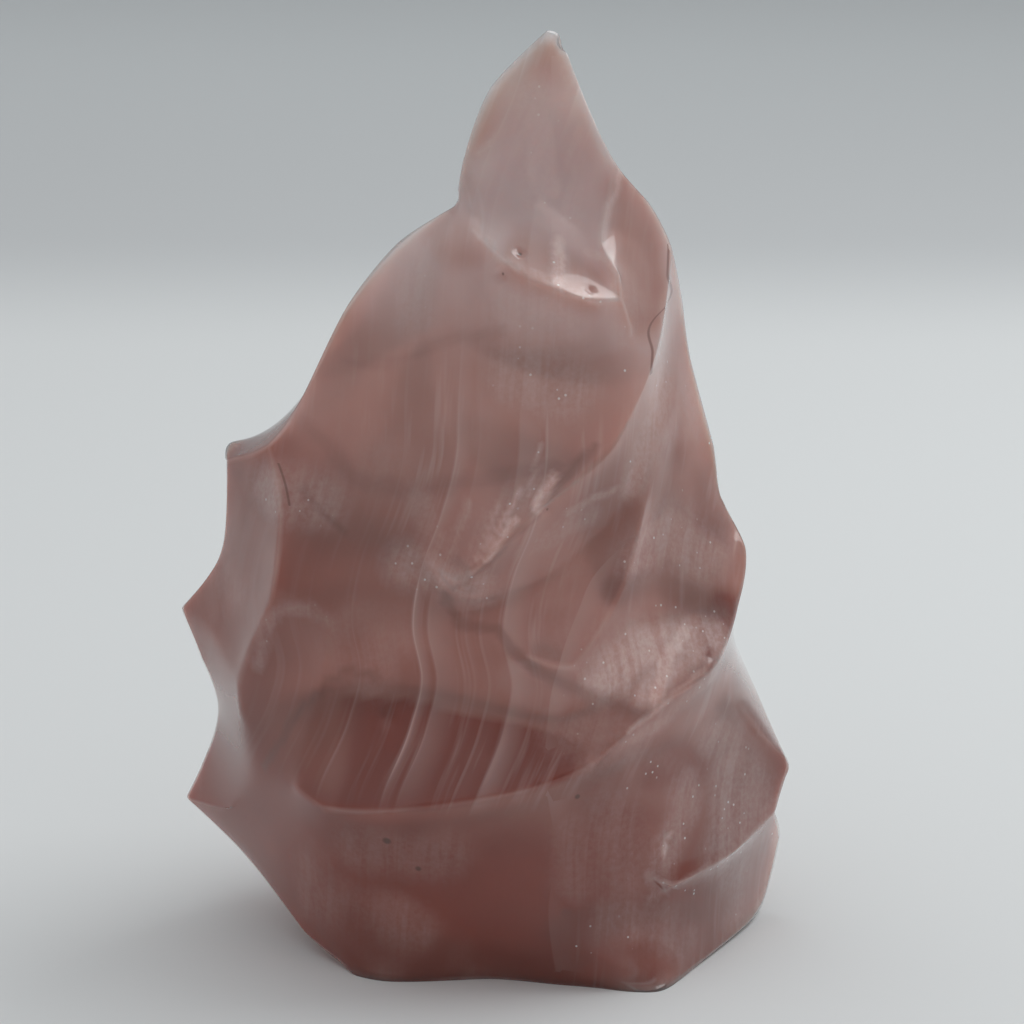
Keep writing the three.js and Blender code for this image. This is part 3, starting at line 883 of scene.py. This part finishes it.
def veils_of(graph, streaks):
    """Strength of all veils: upper and lower ones, the streaks between them, and the lone ones."""
    across = graph.field("across_veils")
    upper = veil_profile(graph, across, UPPER_VEILS)
    lower = veil_profile(graph, across, LOWER_VEILS)
    veils = graph.mix(graph.field("upper_share"), lower, upper)
    streaks = graph.product(streaks, VEIL_STREAKS)
    veils = graph.product(graph.math("MAXIMUM", veils, streaks), graph.field("veils"))
    off_veil = graph.field("off_lone_veil")
    lone = single_veil(graph, off_veil, LONE_VEIL_LINE, LONE_VEIL_MILK, LONE_VEIL_WIDTH)
    return graph.math("MAXIMUM", veils, graph.product(lone, graph.field("lone_veils")))


def spot(graph, place, centre, radius):
    """A round mark: 1 in its core, and 0 from its radius on."""
    distance = graph.add("ShaderNodeVectorMath", {0: place, 1: centre}, operation="DISTANCE")
    return graph.step(distance.outputs["Value"], radius, radius * MARK_CORE)


def sparkles_of(graph, place):
    """Painted glints of tiny flaws, mostly where the stone is milky."""
    cells = graph.add("ShaderNodeTexVoronoi", {"Vector": place, "Scale": SPARKLES_PER_MM})
    specks = graph.step(cells.outputs["Distance"], *SPARKLE_RADIUS)
    return graph.product(specks, graph.step(graph.field("flaws"), *SPARKLES_WHERE))


def brown_of(graph, place):
    """Brown marks in the pits, and the brown crack."""
    marks = [spot(graph, place, centre, radius) for centre, radius in BROWN_MARKS]
    off_crack = graph.math("ABSOLUTE", graph.field("off_brown_crack"))
    marks.append(graph.product(graph.step(off_crack, *BROWN_CRACK_EDGE), BROWN_CRACK_STRENGTH))
    return graph.product(graph.strongest(marks), BROWN_COLOUR_SHARE)


def fibres_of(graph, place):
    """Noise drawn out along the veils."""
    parts = graph.add("ShaderNodeSeparateXYZ", {0: place})
    along_veils = graph.add("ShaderNodeCombineXYZ", {
        0: graph.field("across_veils"),
        1: graph.math("MULTIPLY", parts.outputs["Y"], FIBRES_IN_DEPTH),
        2: graph.math("MULTIPLY", parts.outputs["Z"], FIBRES_UP),
    })
    return graph.noise(along_veils.outputs[0], FIBRES_PER_MM, detail=2, roughness=0.6)


def milk_of(graph, grain, fibres):
    """Milk of the smears and clouds, broken into wisps, and of the veils. The smears hold painted
    highlights and painted light too.
    """
    wisps = graph.math("ADD", graph.step(grain, *WISPY_GRAIN), graph.step(fibres, *WISPY_FIBRES))
    wisps = graph.math("MULTIPLY_ADD", wisps, WISP_SHARE, WISP_LEAST)
    smears_and_highlights = graph.product(graph.field("milk"), wisps)
    return graph.math("MAXIMUM", smears_and_highlights, veils_of(graph, graph.step(fibres, *STREAKS)))


def colour_of(graph, place, milk):
    """Rose that deepens with the depth field, which holds painted shade and painted light, under the milk
    and all other markings.
    """
    colour = graph.ramp(graph.field("depth"), [(0.0, PALE_ROSE), (0.5, ROSE), (1.0, DEEP_ROSE)])
    # Milk, with the painted highlights and painted light of the smears
    colour = graph.mix(graph.product(milk, MILK_COLOUR_SHARE), colour, MILK_AND_HIGHLIGHT)
    # The stepped crack and the painted shade of refraction darken the colour
    off_crack = graph.math("ABSOLUTE", graph.field("off_stepped_crack"))
    crack = graph.product(graph.step(off_crack, *STEPPED_CRACK_EDGE), CRACK_COLOUR_SHARE)
    colour = graph.mix(graph.math("MAXIMUM", graph.field("painted_shade"), crack), colour, PAINTED_SHADE_AND_CRACK)
    colour = graph.mix(brown_of(graph, place), colour, BROWN)
    # Painted highlights on the ridges and painted glints, in white
    painted_ridge_light = graph.product(graph.field("ridge_highlight"), RIDGE_HIGHLIGHT_SHARE)
    painted_glints_and_highlights = graph.math("MAXIMUM", sparkles_of(graph, place), painted_ridge_light)
    return graph.mix(painted_glints_and_highlights, colour, PAINTED_GLINT)


def quartz_material():
    """See-through rose quartz, hazier where it is milky, with a polished skin."""
    material = bpy.data.materials.new("rose_quartz")
    material.use_nodes = True
    graph = Graph(material.node_tree)
    in_metres = graph.add("ShaderNodeTexCoord").outputs["Object"]
    in_mm = graph.add("ShaderNodeVectorMath", {0: in_metres, "Scale": 1 / MM}, operation="SCALE")
    place = in_mm.outputs[0]
    grain = graph.noise(place, GRAIN_PER_MM, detail=3, roughness=0.65)
    milk = milk_of(graph, grain, fibres_of(graph, place))
    haze = graph.math("MAXIMUM", graph.field("haze"), milk)
    less_clear = HAZY_TRANSMISSION - CLEAR_TRANSMISSION
    bump = graph.add("ShaderNodeBump", {
        "Height": grain,
        "Distance": GRAIN_DEPTH,
        "Strength": GRAIN_STRENGTH,
    })
    surface = graph.add("ShaderNodeBsdfPrincipled", {
        "Base Color": colour_of(graph, place, milk),
        "Roughness": graph.math("MULTIPLY_ADD", grain, GRAIN_ROUGHNESS, BODY_ROUGHNESS),
        "IOR": QUARTZ_IOR,
        "Transmission Weight": graph.math("MULTIPLY_ADD", haze, less_clear, CLEAR_TRANSMISSION),
        "Subsurface Weight": 1.0,
        "Subsurface Radius": SCATTER_REACH,
        "Subsurface Scale": 1.0,
        "Normal": bump.outputs[0],
        "Specular IOR Level": SOFT_GLOSS,
        "Coat Weight": POLISH_GLOSS,
        "Coat Roughness": POLISH_ROUGHNESS,
        "Coat IOR": QUARTZ_IOR,
        "Coat Normal": bump.outputs[0],
    })
    inside = graph.add("ShaderNodeVolumeAbsorption", {"Color": ABSORBED_TO, "Density": ABSORPTION})
    output = graph.add("ShaderNodeOutputMaterial")
    graph.plug(output.inputs["Surface"], surface.outputs[0])
    graph.plug(output.inputs["Volume"], inside.outputs[0])
    return material


def stage_material():
    """Pale paper, with painted shade that makes it darker further back."""
    material = bpy.data.materials.new("pale_paper")
    material.use_nodes = True
    graph = Graph(material.node_tree)
    place = graph.add("ShaderNodeTexCoord").outputs["Object"]
    behind = graph.add("ShaderNodeSeparateXYZ", {0: place}).outputs["Y"]
    colour = graph.mix(graph.step(behind, *FIRST_FALL), PAPER, PAPER_IN_PAINTED_SHADE)
    colour = graph.mix(graph.step(behind, *SECOND_FALL), colour, PAPER_FAR_IN_PAINTED_SHADE)
    surface = graph.add("ShaderNodeBsdfPrincipled", {
        "Base Color": colour,
        "Roughness": PAPER_ROUGHNESS,
        "Specular IOR Level": SOFT_GLOSS,
    })
    output = graph.add("ShaderNodeOutputMaterial")
    graph.plug(output.inputs["Surface"], surface.outputs[0])
    return material


# The stone, the floor, the light and the camera

def add_object(name, data):
    """Puts an object with this data into the scene."""
    thing = bpy.data.objects.new(name, data)
    bpy.context.scene.collection.objects.link(thing)
    return thing


def make_stone():
    """The one piece of the object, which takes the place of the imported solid."""
    stone = add_object("flame_stone", stone_mesh())
    stone.data.materials.append(quartz_material())
    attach(stone, "root")
    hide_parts(NODE)


def make_stage():
    """Pale paper that lies flat under the stone and bends up behind it."""
    bend_steps = 16
    profile = [(STAGE_FRONT, 0.0)]
    for step in range(bend_steps + 1):
        turn = radians(90) * step / bend_steps
        profile.append((STAGE_BEND + STAGE_RADIUS * sin(turn), STAGE_RADIUS * (1 - cos(turn))))
    profile.append((STAGE_BEND + STAGE_RADIUS, STAGE_TOP))
    points = [(x, y, z) for y, z in profile for x in (-STAGE_HALF_WIDTH, STAGE_HALF_WIDTH)]
    strips = [(2 * i, 2 * i + 1, 2 * i + 3, 2 * i + 2) for i in range(len(profile) - 1)]
    mesh = bpy.data.meshes.new("paper_sweep")
    mesh.from_pydata(points, [], strips)
    mesh.polygons.foreach_set("use_smooth", [True] * len(mesh.polygons))
    mesh.materials.append(stage_material())
    add_object("paper_sweep", mesh)


def make_world():
    """Soft light of the studio, stronger from behind the stone and from above."""
    world = bpy.data.worlds.new("studio")
    world.use_nodes = True
    graph = Graph(world.node_tree)
    direction = graph.add("ShaderNodeSeparateXYZ", {
        0: graph.add("ShaderNodeTexCoord").outputs["Generated"],
    })
    from_behind = graph.step(direction.outputs["Y"], *FRONT_TO_BACK)
    colour = graph.mix(from_behind, LIGHT_IN_FRONT, LIGHT_BEHIND)
    height = graph.step(direction.outputs["Z"], *LEVEL_TO_TOP)
    strength = graph.math("MULTIPLY_ADD", height, LIGHT_ABOVE, LIGHT_LEVEL)
    background = graph.add("ShaderNodeBackground", {"Color": colour, "Strength": strength})
    output = graph.add("ShaderNodeOutputWorld")
    graph.plug(output.inputs["Surface"], background.outputs[0])
    bpy.context.scene.world = world


def make_lamp():
    """Wide soft lamp over the stone's right shoulder."""
    lamp = bpy.data.lights.new("overhead", "AREA")
    lamp.shape = "RECTANGLE"
    lamp.size, lamp.size_y = LAMP_SIZE
    lamp.energy = LAMP_POWER
    light = add_object("overhead", lamp)
    light.location = LAMP_PLACE
    light.rotation_euler = (CAMERA_TARGET - LAMP_PLACE).to_track_quat("-Z", "Y").to_euler()


def make_camera():
    """Camera straight in front of the stone, looking down at the photo's angle."""
    lens = bpy.data.cameras.new("photo_view")
    lens.lens = CAMERA_LENS
    lens.sensor_width = CAMERA_SENSOR
    camera = add_object("photo_view", lens)
    away = Vector((0, -cos(CAMERA_HEIGHT_ANGLE), sin(CAMERA_HEIGHT_ANGLE)))
    camera.location = CAMERA_TARGET + away * CAMERA_DISTANCE
    camera.rotation_euler = (radians(90) - CAMERA_HEIGHT_ANGLE, 0, 0)
    bpy.context.scene.camera = camera


bpy.context.scene.view_settings.view_transform = "Standard"
bpy.context.scene.cycles.max_bounces = LIGHT_BOUNCES
noise.seed_set(CHURN_SEED)
make_camera()
make_stage()
make_world()
make_lamp()
make_stone()
